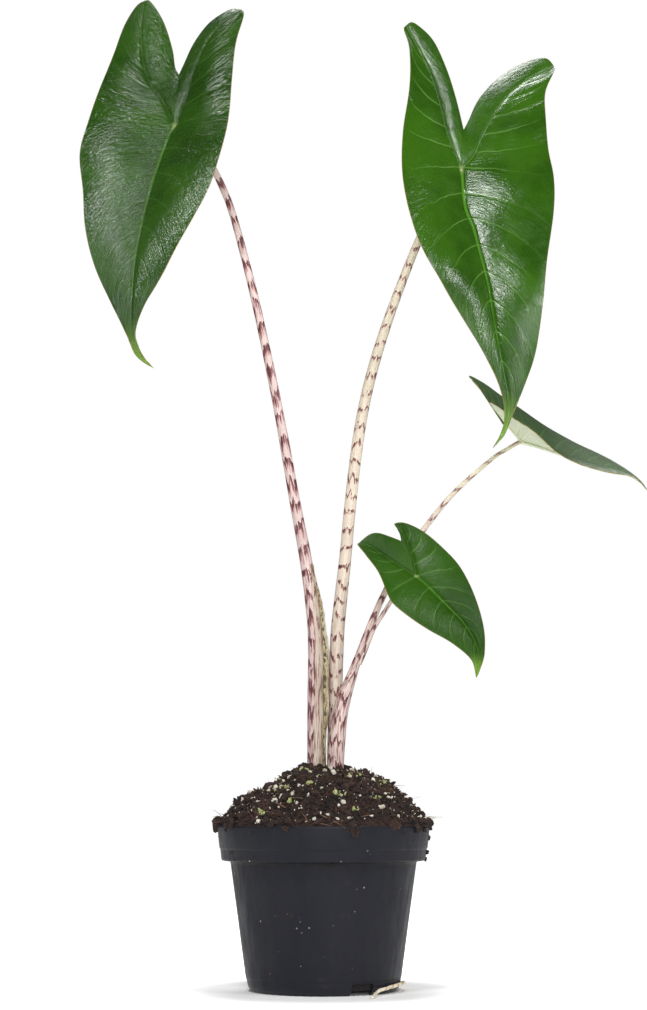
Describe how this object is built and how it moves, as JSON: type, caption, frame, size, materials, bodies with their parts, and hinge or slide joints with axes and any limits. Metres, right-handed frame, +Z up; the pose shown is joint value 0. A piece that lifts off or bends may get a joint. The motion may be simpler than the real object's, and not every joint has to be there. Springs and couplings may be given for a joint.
{
  "type": "potted alocasia houseplant",
  "caption": "Tropical houseplant with glossy arrow-shaped leaves on banded upright stalks, rooted in potting mix in a round black nursery pot.",
  "frame": {"origin": "middle of the pot's base, on the surface the pot stands on", "axes": "+Z up along the pot's axis, -Y towards the viewer of the picture, +X to the viewer's right"},
  "size_m": [0.3375, 0.1369, 0.5932],
  "materials": {
    "pot_plastic": "satin",
    "potting_mix": "matte",
    "corm_flesh": "matte",
    "root_flesh": "matte",
    "stalk_skin": "satin",
    "sheath_skin": "satin",
    "leaf_blade": "gloss"
  },
  "bodies": {
    "root": {"nursery_pot": "pot_plastic", "potting_soil": "potting_mix", "corm": "corm_flesh", "drain_root": "root_flesh", "petiole_left": "stalk_skin", "petiole_right": "stalk_skin", "petiole_side": "stalk_skin", "petiole_small": "stalk_skin", "sheath_left": "sheath_skin", "blade_left": "leaf_blade", "blade_right": "leaf_blade", "blade_side": "leaf_blade", "blade_small": "leaf_blade"}
  },
  "joints": []
}
